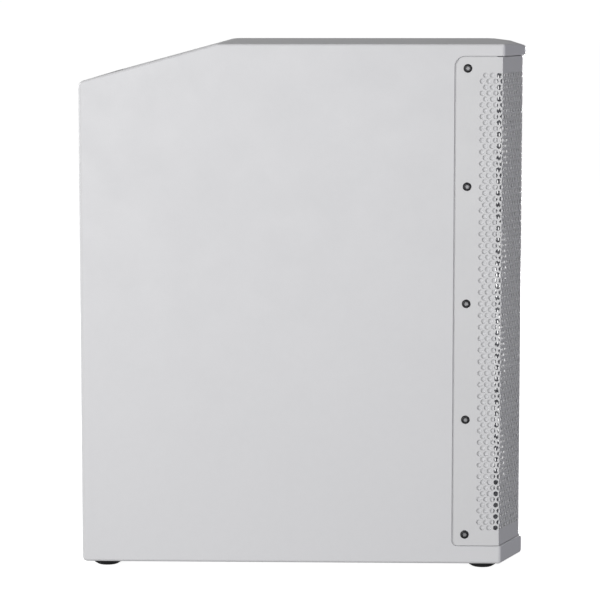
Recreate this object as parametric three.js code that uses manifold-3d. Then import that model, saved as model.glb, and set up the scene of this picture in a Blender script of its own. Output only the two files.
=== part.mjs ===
// A powered subwoofer cabinet: a painted plywood shell with a folded steel grille, one woofer, two reflex
// ports, a control panel in the sloped rear of the top and an amplifier with a carrying handle at the back.
// Millimetres, +Z up. The front faces -Y, and the origin is on the floor under the middle of the cabinet.

import * as THREE from "three";
import { mergeVertices } from "three/addons/utils/BufferGeometryUtils.js";
import Module from "manifold-3d";

const wasm = await Module();
wasm.setup();

// ---- Driving dimensions ----

const WIDTH = 340;
const DEPTH = 465;
const CABINET_HEIGHT = 544;
const FOOT_HEIGHT = 8;
const GAP = 0.3; // left between pieces that touch on the real object

const TOP_THICK = 12.5; // the top lip above the grille
const BOTTOM_THICK = 19; // the bottom lip below the grille
const SIDE_THICK = 18;
const REAR_THICK = 18;
const SLOPE_THICK = 22; // measured vertically
const SLOPE_RUN = 144;
const SLOPE_DROP = 39.4;
const BEVEL_BACK = 25.3; // how far the front corners are cut back along the sides
const BEVEL_IN = 55; // and in along the front
const NOSE_RUN = 19; // the last part of the top falls a little towards the front
const NOSE_DROP = 2;

const SHEET = 1.5; // grille steel
const GRILLE_SET_BACK = 3.3; // behind the lips, at the front
const GRILLE_SEAM = 0.8; // open joint round the grille
const FOLD_FROM_FRONT = 27.1; // where the grille folds from the side to the bevel
const STRIP_LENGTH = 47.5; // the part of the grille that lies on each side
const STRIP_TOP_RADIUS = 10;
const STRIP_BOTTOM_RADIUS = 5;
const SIDE_FROM_FOLD = 5.6; // the side panel stops this far behind the fold
const SCREWS_PER_SIDE = 5;
const SCREW_FROM_EDGE = 11.7;

const BAFFLE_THICK = 18;
const BAFFLE_FROM_FRONT = 40.5;
const WOOFER_HEIGHT = 365;
const WOOFER_HOLE_RADIUS = 117;
const PORT_HEIGHT = 135;
const PORT_APART = 152;
const PORT_RADIUS = 46;
const PORT_BORE = 42;

const FOOT_FROM_SIDE = 30;
const FOOT_FROM_FRONT = 43;
const FOOT_FROM_BACK = 24;

// ---- Planes worked out from them ----

const HALF_WIDTH = WIDTH / 2;
const FRONT = -DEPTH / 2;
const BACK = DEPTH / 2;
const BASE = FOOT_HEIGHT;
const TOP = BASE + CABINET_HEIGHT;
const KINK = BACK - SLOPE_RUN;
const SLOPE_ANGLE = Math.atan2(SLOPE_DROP, SLOPE_RUN);
const INSIDE_FLOOR = BASE + BOTTOM_THICK;
const INSIDE_CEILING = TOP - TOP_THICK;
const FOLD = FRONT + FOLD_FROM_FRONT;
const STRIP_BACK = FOLD + STRIP_LENGTH;
const SIDE_FRONT = FOLD + SIDE_FROM_FOLD;
const GRILLE_BOTTOM = INSIDE_FLOOR + GRILLE_SEAM;
const GRILLE_TOP = INSIDE_CEILING - GRILLE_SEAM;
const BAFFLE_FRONT = FRONT + BAFFLE_FROM_FRONT;
const REAR_INNER = BACK - REAR_THICK;

// ---- Materials ----

const finish = (color, roughness, metalness = 0) =>
  new THREE.MeshStandardMaterial({ color, roughness, metalness });
const whitePaint = finish(0xdcdde0, 0.55);
const innerPaint = finish(0xc9cacc, 0.7);
const whiteSteel = finish(0xd2d3d4, 0.5, 0.1);
const blackSteel = finish(0x17181a, 0.45, 0.6);
const blackPanel = finish(0x232426, 0.6, 0.2);
const blackPlastic = finish(0x1b1b1d, 0.5);
const greyPlastic = finish(0x8d9094, 0.5);
const blackRubber = finish(0x101011, 0.85);
const conePaper = finish(0x2a2a2c, 0.9);
const castMetal = finish(0x3a3b3d, 0.6, 0.5);
const plainSteel = finish(0x9fa3a6, 0.35, 0.9);
const ferrite = finish(0x3d3c3b, 0.8);
const copper = finish(0xa8683c, 0.4, 0.8);
const aluminium = finish(0x2b2c2f, 0.4, 0.7);
const circuitGreen = finish(0x1f5a3c, 0.6);
const yellowTape = finish(0xc9a23a, 0.6);

// ---- Geometry helpers ----

const part = new THREE.Group();

function add(name, geometry, material, parent = part) {
  const mesh = new THREE.Mesh(geometry, material);
  mesh.name = name;
  parent.add(mesh);
  return mesh;
}

function solidOf(geometry) {
  const bare = geometry.clone();
  bare.deleteAttribute("normal");
  bare.deleteAttribute("uv");
  const merged = mergeVertices(bare, 1e-4);
  return new wasm.Manifold(
    new wasm.Mesh({
      numProp: 3,
      vertProperties: merged.attributes.position.array,
      triVerts: new Uint32Array(merged.index.array),
    }),
  );
}

function geometryOf(solid) {
  const mesh = solid.getMesh();
  return new THREE.BufferGeometry()
    .setAttribute("position", new THREE.BufferAttribute(mesh.vertProperties, 3))
    .setIndex(new THREE.BufferAttribute(mesh.triVerts, 1));
}

const combine = (method, first, others) =>
  geometryOf(others.reduce((sum, next) => sum[method](solidOf(next)), solidOf(first)));
const cut = (body, ...tools) => combine("subtract", body, tools);
const join = (body, ...more) => combine("add", body, more);
const overlapOf = (body, ...limits) => combine("intersect", body, limits);

// A box given by its two corners.
function block([x0, y0, z0], [x1, y1, z1]) {
  return new THREE.BoxGeometry(x1 - x0, y1 - y0, z1 - z0).translate(
    (x0 + x1) / 2,
    (y0 + y1) / 2,
    (z0 + z1) / 2,
  );
}

const shapeOf = (points) => new THREE.Shape(points.map(([a, b]) => new THREE.Vector2(a, b)));

function extrude(shape, depth) {
  return new THREE.ExtrudeGeometry(shape, { depth, bevelEnabled: false, curveSegments: 4 });
}

// An outline in X and Y, extruded upwards from z0 to z1.
const extrudeUp = (shape, z0, z1) => extrude(shape, z1 - z0).translate(0, 0, z0);

// An outline in Y and Z, extruded across from x0 to x1.
function extrudeAcross(shape, x0, x1) {
  const turn = new THREE.Matrix4().makeBasis(
    new THREE.Vector3(0, 1, 0),
    new THREE.Vector3(0, 0, 1),
    new THREE.Vector3(1, 0, 0),
  );
  return extrude(shape, x1 - x0)
    .applyMatrix4(turn)
    .translate(x0, 0, 0);
}

// Points along an arc, as [a, b], from one angle to another in degrees.
function arc(centreA, centreB, radius, from, to, steps) {
  return Array.from({ length: steps + 1 }, (_, i) => {
    const angle = THREE.MathUtils.degToRad(from + ((to - from) * i) / steps);
    return [centreA + radius * Math.cos(angle), centreB + radius * Math.sin(angle)];
  });
}

// A rectangle whose corners may have different radii, listed from the low corner anticlockwise.
function roundedRectangle(a0, b0, a1, b1, [r0, r1, r2, r3]) {
  const corners = [
    [a0 + r0, b0 + r0, r0, 180],
    [a1 - r1, b0 + r1, r1, 270],
    [a1 - r2, b1 - r2, r2, 0],
    [a0 + r3, b1 - r3, r3, 90],
  ];
  return shapeOf(
    corners.flatMap(([a, b, radius, start]) =>
      radius > 0 ? arc(a, b, radius, start, start + 90, 4) : [[a, b]],
    ),
  );
}

// A solid of revolution about Y. The profile is [radius, y] points. It starts and ends on the axis, or closes
// on itself when ring is true.
function turned(profile, segments, ring = false) {
  const area = profile.reduce((sum, [r, y], i) => {
    const [nextR, nextY] = profile[(i + 1) % profile.length];
    return sum + r * nextY - nextR * y;
  }, 0);
  const ordered = area < 0 ? [...profile].reverse() : profile;
  const closed = ring ? [...ordered, ordered[0]] : ordered;
  return new THREE.LatheGeometry(
    closed.map(([r, y]) => new THREE.Vector2(r, y)),
    segments,
  );
}

const alongX = (geometry) => geometry.rotateZ(-Math.PI / 2);
const alongZ = (geometry) => geometry.rotateX(Math.PI / 2);
const rod = (radius, length, segments) => new THREE.CylinderGeometry(radius, radius, length, segments);

const mirrored = (points) => [...points, ...points.map(([x, y]) => [-x, y]).reverse()];
const slopeHeight = (y) => TOP - ((y - KINK) * SLOPE_DROP) / SLOPE_RUN;

// ---- Shell ----

const lipPlan = (backY) =>
  shapeOf(
    mirrored([
      [HALF_WIDTH, backY],
      [HALF_WIDTH, FRONT + BEVEL_BACK],
      [HALF_WIDTH - BEVEL_IN, FRONT],
    ]),
  );

function addTopPanel() {
  const section = shapeOf([
    [FRONT, INSIDE_CEILING],
    [KINK, INSIDE_CEILING],
    [KINK, TOP],
    [FRONT + NOSE_RUN, TOP],
    [FRONT, TOP - NOSE_DROP],
  ]);
  const plan = extrudeUp(lipPlan(KINK), INSIDE_CEILING - 1, TOP + 1);
  add("top_panel", overlapOf(extrudeAcross(section, -HALF_WIDTH, HALF_WIDTH), plan), whitePaint);
}

const addBottomPanel = () =>
  add("bottom_panel", extrudeUp(lipPlan(BACK), BASE, INSIDE_FLOOR), whitePaint);

// The five screw places up one side of the grille, as heights.
const screwHeights = Array.from(
  { length: SCREWS_PER_SIDE },
  (_, i) =>
    GRILLE_BOTTOM +
    SCREW_FROM_EDGE +
    (i * (GRILLE_TOP - GRILLE_BOTTOM - 2 * SCREW_FROM_EDGE)) / (SCREWS_PER_SIDE - 1),
);
const SCREW_Y = STRIP_BACK - SCREW_FROM_EDGE;

const stripOutline = (grow) =>
  roundedRectangle(FRONT - 5, GRILLE_BOTTOM - grow, STRIP_BACK + grow, GRILLE_TOP + grow, [
    0,
    STRIP_BOTTOM_RADIUS + grow,
    STRIP_TOP_RADIUS + grow,
    0,
  ]);

function addSidePanel(name, side) {
  const under = (y) => slopeHeight(y) - SLOPE_THICK - GAP;
  const outline = shapeOf([
    [SIDE_FRONT, INSIDE_FLOOR + GAP],
    [REAR_INNER - GAP, INSIDE_FLOOR + GAP],
    [REAR_INNER - GAP, under(REAR_INNER)],
    [KINK, under(KINK)],
    [KINK, INSIDE_CEILING - GAP],
    [SIDE_FRONT, INSIDE_CEILING - GAP],
  ]);
  const recessDepth = SHEET + GAP;
  const across = (shape, from, to) =>
    extrudeAcross(shape, Math.min(side * from, side * to), Math.max(side * from, side * to));
  const recess = across(stripOutline(GRILLE_SEAM), HALF_WIDTH - recessDepth, HALF_WIDTH + 1);
  const holes = screwHeights.map((z) =>
    alongX(rod(2.4, 18, 8)).translate(side * (HALF_WIDTH - 8), SCREW_Y, z),
  );
  add(name, cut(across(outline, HALF_WIDTH - SIDE_THICK, HALF_WIDTH), recess, ...holes), whitePaint);
}

// ---- Rear panel, with the openings for the amplifier and the handle ----

const AMP = { width: 264, bottom: 50, top: 344, ledge: 12, setBack: 9, plate: 3 };
const HANDLE = { height: 425, width: 150, tall: 76, depth: 48, rim: 11, rimThick: 2.3, wall: 3 };

function addRearPanel() {
  const halfAmp = AMP.width / 2;
  const halfHandle = HANDLE.width / 2;
  const rebate = BACK - AMP.setBack - AMP.plate - GAP;
  const section = shapeOf([
    [REAR_INNER, INSIDE_FLOOR + GAP],
    [BACK, INSIDE_FLOOR + GAP],
    [BACK, slopeHeight(BACK) - SLOPE_THICK - GAP],
    [REAR_INNER, slopeHeight(REAR_INNER) - SLOPE_THICK - GAP],
  ]);
  const panel = extrudeAcross(section, -HALF_WIDTH, HALF_WIDTH);
  const ampRebate = block([-halfAmp, rebate, AMP.bottom], [halfAmp, BACK + 1, AMP.top]);
  const ampWindow = block(
    [-halfAmp + AMP.ledge, REAR_INNER - 1, AMP.bottom + AMP.ledge],
    [halfAmp - AMP.ledge, BACK + 1, AMP.top - AMP.ledge],
  );
  const handleRebate = block(
    [-halfHandle - HANDLE.rim - GAP, BACK - HANDLE.rimThick - GAP, handleEdge(-1) - HANDLE.rim - GAP],
    [halfHandle + HANDLE.rim + GAP, BACK + 1, handleEdge(1) + HANDLE.rim + GAP],
  );
  const handleWindow = block(
    [-halfHandle - GAP, REAR_INNER - 1, handleEdge(-1) - GAP],
    [halfHandle + GAP, BACK + 1, handleEdge(1) + GAP],
  );
  add("rear_panel", cut(panel, ampRebate, ampWindow, handleRebate, handleWindow), whitePaint);
}

const handleEdge = (direction) => HANDLE.height + (direction * HANDLE.tall) / 2;

// ---- Slope panel and everything that lies square to it ----

const CONTROL = { width: 296, tall: 122, ledge: 6, setBack: 14, plate: 2 };
const slopeFrame = new THREE.Group();
slopeFrame.position.set(0, KINK + SLOPE_RUN / 2, TOP - SLOPE_DROP / 2);
slopeFrame.rotation.x = -SLOPE_ANGLE;
slopeFrame.updateMatrix();
part.add(slopeFrame);

function addSlopePanel() {
  const section = shapeOf([
    [KINK + GAP, slopeHeight(KINK + GAP)],
    [KINK + GAP, slopeHeight(KINK + GAP) - SLOPE_THICK],
    [BACK, slopeHeight(BACK) - SLOPE_THICK],
    [BACK, slopeHeight(BACK)],
  ]);
  const { width, tall, ledge, setBack, plate } = CONTROL;
  const rebateFloor = -setBack - plate - GAP;
  const rebate = block([-width / 2, -tall / 2, rebateFloor], [width / 2, tall / 2, 10]);
  const window = block(
    [-width / 2 + ledge, -tall / 2 + ledge, -SLOPE_THICK - 10],
    [width / 2 - ledge, tall / 2 - ledge, 10],
  );
  const tools = [rebate, window].map((tool) => tool.applyMatrix4(slopeFrame.matrix));
  add("slope_panel", cut(extrudeAcross(section, -HALF_WIDTH, HALF_WIDTH), ...tools), whitePaint);
}

// ---- Baffle and brace ----

const portSides = [-PORT_APART / 2, PORT_APART / 2];

function addBaffle() {
  const inner = HALF_WIDTH - SIDE_THICK - GAP;
  const board = block(
    [-inner, BAFFLE_FRONT, INSIDE_FLOOR + GAP],
    [inner, BAFFLE_FRONT + BAFFLE_THICK, INSIDE_CEILING - GAP],
  );
  const depth = 4 * BAFFLE_THICK;
  const wooferHole = rod(WOOFER_HOLE_RADIUS, depth, 36).translate(0, BAFFLE_FRONT, WOOFER_HEIGHT);
  const portHoles = portSides.map((x) =>
    rod(PORT_RADIUS + GAP, depth, 32).translate(x, BAFFLE_FRONT, PORT_HEIGHT),
  );
  add("front_baffle", cut(board, wooferHole, ...portHoles), innerPaint);
}

function addBrace() {
  const inner = HALF_WIDTH - SIDE_THICK - GAP;
  const start = BAFFLE_FRONT + BAFFLE_THICK + GAP;
  const end = 130;
  const frameWidth = 50;
  const bottom = 228;
  const thick = 15;
  const board = block([-inner, start, bottom], [inner, end, bottom + thick]);
  const window = block(
    [-inner + frameWidth, start + frameWidth, bottom - 1],
    [inner - frameWidth, end - frameWidth, bottom + thick + 1],
  );
  add("shelf_brace", cut(board, window), innerPaint);
}

// ---- Grille ----

// The plan of the folded sheet: the outer corners, then the inner ones one sheet thickness in.
function grillePlan() {
  const bevelSlope = BEVEL_IN / BEVEL_BACK;
  const flat = FRONT + GRILLE_SET_BACK;
  const outer = [
    [HALF_WIDTH, STRIP_BACK],
    [HALF_WIDTH, FOLD],
    [HALF_WIDTH - (FOLD - flat) * bevelSlope, flat],
  ];
  const bevelAngle = Math.atan2(BEVEL_BACK, BEVEL_IN);
  const normals = [
    [-1, 0],
    [-Math.sin(bevelAngle), Math.cos(bevelAngle)],
    [0, 1],
  ];
  const shifted = ([x, y], [ax, ay], [bx, by]) => {
    const scale = SHEET / (1 + ax * bx + ay * by);
    return [x + (ax + bx) * scale, y + (ay + by) * scale];
  };
  const inner = [
    [HALF_WIDTH - SHEET, STRIP_BACK],
    shifted(outer[1], normals[0], normals[1]),
    shifted(outer[2], normals[1], normals[2]),
  ];
  return shapeOf([...mirrored(outer), ...mirrored(inner).reverse()]);
}

function addGrille() {
  const sheet = extrudeUp(grillePlan(), GRILLE_BOTTOM - 1, GRILLE_TOP + 1);
  const outline = extrudeAcross(stripOutline(0), -HALF_WIDTH - 1, HALF_WIDTH + 1);
  const holes = screwHeights.map((z) => alongX(rod(2.7, WIDTH + 10, 10)).translate(0, SCREW_Y, z));
  add("grille_sheet", cut(overlapOf(sheet, outline), ...holes), whiteSteel);
}

function addGrilleScrews() {
  const shankRadius = 2.1;
  const shankLength = 14;
  const headRadius = 4.5;
  const profile = [
    [0, -shankLength],
    [shankRadius, -shankLength],
    [shankRadius, GAP],
    [headRadius, GAP],
    [headRadius - 0.2, 0.9],
    [headRadius - 1.4, 1.5],
    [0, 1.5],
  ];
  for (const [name, side] of [["left", -1], ["right", 1]]) {
    screwHeights.forEach((z, i) => {
      const screw = add(`grille_screw_${name}_${i + 1}`, alongX(turned(profile, 12)), blackSteel);
      screw.position.set(side * HALF_WIDTH, SCREW_Y, z);
      if (side < 0) screw.rotation.z = Math.PI;
    });
  }
}

// ---- Feet ----

function addFeet() {
  const profile = [
    [0, 0],
    [11, 0],
    [14.5, 2.2],
    [16, 5.5],
    [16, FOOT_HEIGHT - GAP],
    [0, FOOT_HEIGHT - GAP],
  ];
  const places = {
    foot_front_left: [-1, FRONT + FOOT_FROM_FRONT],
    foot_front_right: [1, FRONT + FOOT_FROM_FRONT],
    foot_rear_left: [-1, BACK - FOOT_FROM_BACK],
    foot_rear_right: [1, BACK - FOOT_FROM_BACK],
  };
  for (const [name, [side, y]] of Object.entries(places)) {
    const foot = add(name, alongZ(turned(profile, 20)), blackRubber);
    foot.position.set(side * (HALF_WIDTH - FOOT_FROM_SIDE), y, 0);
  }
}

// ---- Woofer: profiles are radius and distance behind the face of the baffle ----

const woofer = new THREE.Group();
woofer.position.set(0, BAFFLE_FRONT, WOOFER_HEIGHT);
part.add(woofer);
const WOOFER_SIDES = 36;
const COIL_RADIUS = 31.8;
const CONE_RADIUS = 97;
const ROLL_RADIUS = 6.6;

const addWooferRing = (name, profile, material) =>
  add(name, turned(profile, WOOFER_SIDES, true), material, woofer);

function addBasket() {
  const profile = [
    [112, -6],
    [131, -6],
    [131, -GAP],
    [116.3, -GAP],
    [116.3, 10],
    [76.5, 85],
    [76.5, 91],
    [45, 91],
    [45, 87],
    [72, 87],
    [72, 85],
    [112, 10],
  ];
  const spokes = 6;
  const windows = Array.from({ length: spokes }, (_, i) =>
    block([60, 24, -25], [125, 74, 25]).rotateY(((i + 0.5) * 2 * Math.PI) / spokes),
  );
  add("woofer_basket", cut(turned(profile, WOOFER_SIDES, true), ...windows), castMetal, woofer);
}

function addMagnetSystem() {
  const front = 91 + GAP;
  const magnetFront = front + 8 + GAP;
  const plateFront = magnetFront + 22 + GAP;
  const plateBack = plateFront + 10;
  const rectangle = (inner, outer, from, to) => [
    [inner, from],
    [outer, from],
    [outer, to],
    [inner, to],
  ];
  addWooferRing("woofer_top_plate", rectangle(33.3, 68, front, front + 8), plainSteel);
  addWooferRing("woofer_magnet", rectangle(38, 78, magnetFront, magnetFront + 22), ferrite);
  const poleRadius = 29.5;
  const backPlate = [
    [0, front],
    [poleRadius, front],
    [poleRadius, plateFront],
    [68, plateFront],
    [68, plateBack],
    [0, plateBack],
  ];
  add("woofer_back_plate", turned(backPlate, WOOFER_SIDES), plainSteel, woofer);
}

function addConeGroup() {
  const coneNeck = COIL_RADIUS + GAP;
  const cone = [
    [coneNeck, 52],
    [CONE_RADIUS, 2.5],
    [CONE_RADIUS, -0.5],
    [coneNeck, 49],
  ];
  addWooferRing("woofer_cone", cone, conePaper);

  const rollCentre = CONE_RADIUS + GAP + ROLL_RADIUS;
  const roll = [
    ...arc(rollCentre, -0.5, ROLL_RADIUS, 0, -180, 6),
    ...arc(rollCentre, -0.5, ROLL_RADIUS - 1, -180, 0, 6),
  ];
  addWooferRing("woofer_surround", roll, blackRubber);

  const capRadius = 72;
  const capApex = 23;
  const capDegrees = 37.6;
  const capThick = 1.2;
  const cap = [
    ...arc(0, capApex + capRadius, capRadius, -90, -90 + capDegrees, 6),
    ...arc(0, capApex + capRadius + capThick, capRadius, -90 + capDegrees, -90, 6),
  ];
  add("woofer_dust_cap", turned(cap, WOOFER_SIDES), conePaper, woofer);

  const coil = [
    [COIL_RADIUS - 0.8, 44],
    [COIL_RADIUS, 44],
    [COIL_RADIUS, 106],
    [COIL_RADIUS - 0.8, 106],
  ];
  addWooferRing("woofer_voice_coil", coil, copper);

  const spiderOuter = 70;
  const waves = 6;
  const ridge = (offset) =>
    Array.from({ length: waves + 1 }, (_, i) => [
      coneNeck + ((spiderOuter - coneNeck) * i) / waves,
      60 + offset + (i % 2 ? 2 : -2),
    ]);
  addWooferRing("woofer_spider", [...ridge(0), ...ridge(1).reverse()], yellowTape);
}

function addGasketAndTerminals() {
  const gasket = [
    [112, -9],
    [130.5, -9],
    [130.5, -6 - GAP],
    [112, -6 - GAP],
  ];
  addWooferRing("woofer_gasket", gasket, blackRubber);
  add("woofer_terminal_block", block([-12, 76, -94], [12, 90, -82]), blackPlastic, woofer);
}

// ---- Reflex ports ----

function addPorts() {
  const flangeRadius = 56;
  const flange = 4;
  const length = 150;
  const flare = 9;
  const mouth = arc(PORT_BORE + flare, -flange + flare, flare, -180, -90, 4);
  const profile = [
    ...mouth,
    [flangeRadius, -flange],
    [flangeRadius, -GAP],
    [PORT_RADIUS, -GAP],
    [PORT_RADIUS, length],
    [PORT_BORE, length],
  ];
  ["left", "right"].forEach((name, i) => {
    const port = add(`port_tube_${name}`, turned(profile, 28, true), blackPlastic);
    port.position.set(portSides[i], BAFFLE_FRONT, PORT_HEIGHT);
  });
}

// ---- Control panel, in the slope's own frame ----

const KNOB_PLACES = [-96, -32, 32, 96];
const KNOB_LINE = 12;
const BUTTON_PLACES = [-64, 0];
const BUTTON_LINE = -32;
const CONTROL_FACE = -CONTROL.setBack;
const CONTROL_UNDER = CONTROL_FACE - CONTROL.plate;
const BOARD_TOP = -26.4;

function addControlPlate() {
  const plate = block(
    [-CONTROL.width / 2 + 0.5, -CONTROL.tall / 2 + 0.5, CONTROL_UNDER],
    [CONTROL.width / 2 - 0.5, CONTROL.tall / 2 - 0.5, CONTROL_FACE],
  );
  const hole = (radius, x, y) => alongZ(rod(radius, 20, 12)).translate(x, y, CONTROL_FACE);
  const knobHoles = KNOB_PLACES.map((x) => hole(3.6, x, KNOB_LINE));
  const buttonHoles = BUTTON_PLACES.map((x) => hole(4.6, x, BUTTON_LINE));
  add("control_plate", cut(plate, ...knobHoles, ...buttonHoles), blackPanel, slopeFrame);
}

function addControlBoard() {
  const board = block([-130, -48, BOARD_TOP - 1.6], [130, 48, BOARD_TOP]);
  const potTop = CONTROL_UNDER - 1.4;
  const pots = KNOB_PLACES.map((x) =>
    block([x - 6, KNOB_LINE - 6, BOARD_TOP - 1], [x + 6, KNOB_LINE + 6, potTop]),
  );
  add("control_board", join(board, ...pots), circuitGreen, slopeFrame);
}

function addKnobsAndButtons() {
  const shaftEnd = CONTROL_UNDER - 1;
  const skirt = CONTROL_FACE + GAP;
  const top = -1.6;
  const knob = [
    [0, shaftEnd],
    [3, shaftEnd],
    [3, skirt],
    [9, skirt],
    [9, skirt + 2],
    [7.4, skirt + 3.2],
    [7, top],
    [0, top],
  ];
  const pointer = block([-0.8, 1.5, top - 1], [0.8, 6.8, top + 0.9]);
  KNOB_PLACES.forEach((x, i) => {
    const body = join(alongZ(turned(knob, 18)), pointer);
    add(`level_knob_${i + 1}`, body, blackPlastic, slopeFrame).position.set(x, KNOB_LINE, 0);
  });
  const button = [
    [0, shaftEnd],
    [4, shaftEnd],
    [4, CONTROL_FACE + 2.5],
    [0, CONTROL_FACE + 2.5],
  ];
  BUTTON_PLACES.forEach((x, i) => {
    const body = alongZ(turned(button, 14));
    add(`mode_button_${i + 1}`, body, greyPlastic, slopeFrame).position.set(x, BUTTON_LINE, 0);
  });
}

// ---- Amplifier ----

const AMP_FACE = BACK - AMP.setBack;
const AMP_INNER = AMP_FACE - AMP.plate;
const SOCKET_Z = 112;
const SOCKETS = { input_socket_1: -90, input_socket_2: -52, link_socket: -14 };
const SOCKET_BARREL = 11.8;
const INLET = { x: 72, z: 104, width: 30, tall: 22 };
const SWITCH = { x: 72, z: 152, width: 15, tall: 23 };
const SWITCH_TILT = THREE.MathUtils.degToRad(7);

function addAmplifierPlate() {
  const half = AMP.width / 2 - 0.5;
  const plate = block([-half, AMP_INNER, AMP.bottom + 0.5], [half, AMP_FACE, AMP.top - 0.5]);
  const boardBack = 181.6;
  const post = (x, z) =>
    rod(3, AMP_INNER - boardBack - GAP + 1, 8).translate(x, (AMP_INNER + 1 + boardBack + GAP) / 2, z);
  const posts = [-105, 105].flatMap((x) => [post(x, 76), post(x, 250)]);
  const socketHoles = Object.values(SOCKETS).map((x) =>
    rod(SOCKET_BARREL + 0.4, 20, 18).translate(x, AMP_FACE, SOCKET_Z),
  );
  const slot = ({ x, z, width, tall }, spare) =>
    block(
      [x - width / 2 - spare, AMP_INNER - 5, z - tall / 2 - spare],
      [x + width / 2 + spare, AMP_FACE + 5, z + tall / 2 + spare],
    );
  const holes = [...socketHoles, slot(INLET, 0.4), slot(SWITCH, 2.4)];
  add("amplifier_plate", cut(join(plate, ...posts), ...holes), blackPanel);
}

function addHeatSink() {
  const half = 100;
  const base = AMP_FACE + GAP;
  const fins = 17;
  const finTip = BACK - 1;
  const pitch = (2 * half) / (fins * 2 - 1);
  const comb = Array.from({ length: fins }, (_, i) => {
    const left = -half + 2 * i * pitch;
    const right = left + pitch;
    return [[left, base + 2], [left, finTip], [right, finTip], [right, base + 2]];
  }).flat();
  const outline = shapeOf([[-half, base], ...comb, [half, base]]);
  add("heat_sink", extrudeUp(outline, 196, 326), aluminium);
}

// A socket that opens towards +Y: a rectangular flange, a body through the plate and a hollow in it.
function socketBody(flange, body, hollow) {
  return cut(join(flange, body), hollow);
}

function addSockets() {
  const face = AMP_FACE + GAP;
  const [flangeHalfWidth, flangeHalfTall, flangeThick] = [13, 15.5, 2];
  for (const [name, x] of Object.entries(SOCKETS)) {
    const flange = block(
      [-flangeHalfWidth, face, -flangeHalfTall],
      [flangeHalfWidth, face + flangeThick, flangeHalfTall],
    );
    const barrel = rod(SOCKET_BARREL, 22, 18).translate(0, face - 10, 0);
    const bore = rod(8.5, 20, 18).translate(0, face + flangeThick - 6, 0);
    add(name, socketBody(flange, barrel, bore), blackPlastic).position.set(x, 0, SOCKET_Z);
  }
  const { width, tall } = INLET;
  const inlet = socketBody(
    block([-25, face, -15], [25, face + flangeThick, 15]),
    block([-width / 2, face - 20, -tall / 2], [width / 2, face + 1, tall / 2]),
    block([-width / 2 + 3, face - 15, -tall / 2 + 3], [width / 2 - 3, face + 10, tall / 2 - 3]),
  );
  add("mains_inlet", inlet, blackPlastic).position.set(INLET.x, 0, INLET.z);
}

function addPowerSwitch() {
  const face = AMP_FACE + GAP;
  const { x, z, width, tall } = SWITCH;
  const box = (spare, from, to) =>
    block([-width / 2 - spare, from, -tall / 2 - spare], [width / 2 + spare, to, tall / 2 + spare]);
  const housing = socketBody(box(4, face, face + 1.6), box(2, face - 16, face + 1), box(0, face - 14, face + 5));
  add("switch_housing", housing, blackPlastic).position.set(x, 0, z);

  const pivot = face - 2;
  const rocker = shapeOf([
    [-6, -4],
    [-6, 4],
    [2, 10],
    [5, 10.6],
    [3.2, 0],
    [5, -10.6],
    [2, -10],
  ]);
  const paddle = extrudeAcross(rocker, -width / 2 + 0.6, width / 2 - 0.6).rotateX(SWITCH_TILT);
  add("power_rocker", paddle, blackPlastic).position.set(x, pivot, z);
}

function addElectronics() {
  const boardFront = 180;
  add("main_board", block([-112, boardFront, 68], [112, boardFront + 1.6, 260]), circuitGreen);
  const capLength = 40;
  [-66, -30].forEach((x, i) => {
    const can = rod(12.5, capLength, 18).translate(x, boardFront - GAP - capLength / 2, 205);
    add(`filter_capacitor_${i + 1}`, can, blackPlastic);
  });
  const coreBack = boardFront - GAP;
  const core = cut(
    block([20, coreBack - 38, 176], [76, coreBack, 226]),
    block([28, coreBack - 40, 184], [38, coreBack + 1, 218]),
    block([58, coreBack - 40, 184], [68, coreBack + 1, 218]),
  );
  const winding = block([31, coreBack - 34, 187], [65, coreBack - 4, 215]);
  add("transformer", join(core, winding), ferrite);
}

// ---- Handle ----

function addHandle() {
  const half = HANDLE.width / 2;
  const rim = block(
    [-half - HANDLE.rim, BACK - HANDLE.rimThick, handleEdge(-1) - HANDLE.rim],
    [half + HANDLE.rim, BACK, handleEdge(1) + HANDLE.rim],
  );
  const dish = block([-half, BACK - HANDLE.depth, handleEdge(-1)], [half, BACK - 1, handleEdge(1)]);
  const hollow = block(
    [-half + HANDLE.wall, BACK - HANDLE.depth + HANDLE.wall, handleEdge(-1) + HANDLE.wall],
    [half - HANDLE.wall, BACK + 1, handleEdge(1) - HANDLE.wall],
  );
  add("handle_dish", cut(join(rim, dish), hollow), blackPlastic);
  const barLength = HANDLE.width - 2 * HANDLE.wall - 2 * GAP;
  const bar = alongX(rod(10, barLength, 20)).translate(0, BACK - 14, HANDLE.height);
  add("handle_bar", bar, blackPlastic);
}

// ---- Internal wiring ----

function addWiring() {
  const route = new THREE.CatmullRomCurve3([
    new THREE.Vector3(0, -101, 277),
    new THREE.Vector3(-4, -80, 276),
    new THREE.Vector3(-16, -30, 262),
    new THREE.Vector3(-34, 40, 256),
    new THREE.Vector3(-60, 110, 256),
    new THREE.Vector3(-80, 160, 252),
    new THREE.Vector3(-84, 179, 246),
  ]);
  const section = new THREE.Shape().absarc(0, 0, 2.5, 0, 2 * Math.PI, false);
  const lead = new THREE.ExtrudeGeometry(section, {
    steps: 22,
    curveSegments: 4,
    extrudePath: route,
    bevelEnabled: false,
  });
  add("speaker_lead", lead, blackPlastic);

  const ribbonThick = 1.2;
  const centre = [
    [186, 489],
    [168, 462],
    [164, 400],
    [164, 300],
    [178.5, 262],
  ];
  const outline = [
    ...centre,
    ...centre.map(([y, z]) => [y - ribbonThick, z - 0.4]).reverse(),
  ];
  add("control_ribbon", extrudeAcross(shapeOf(outline), 88, 108), greyPlastic);
}

// ---- Assembly ----

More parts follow.
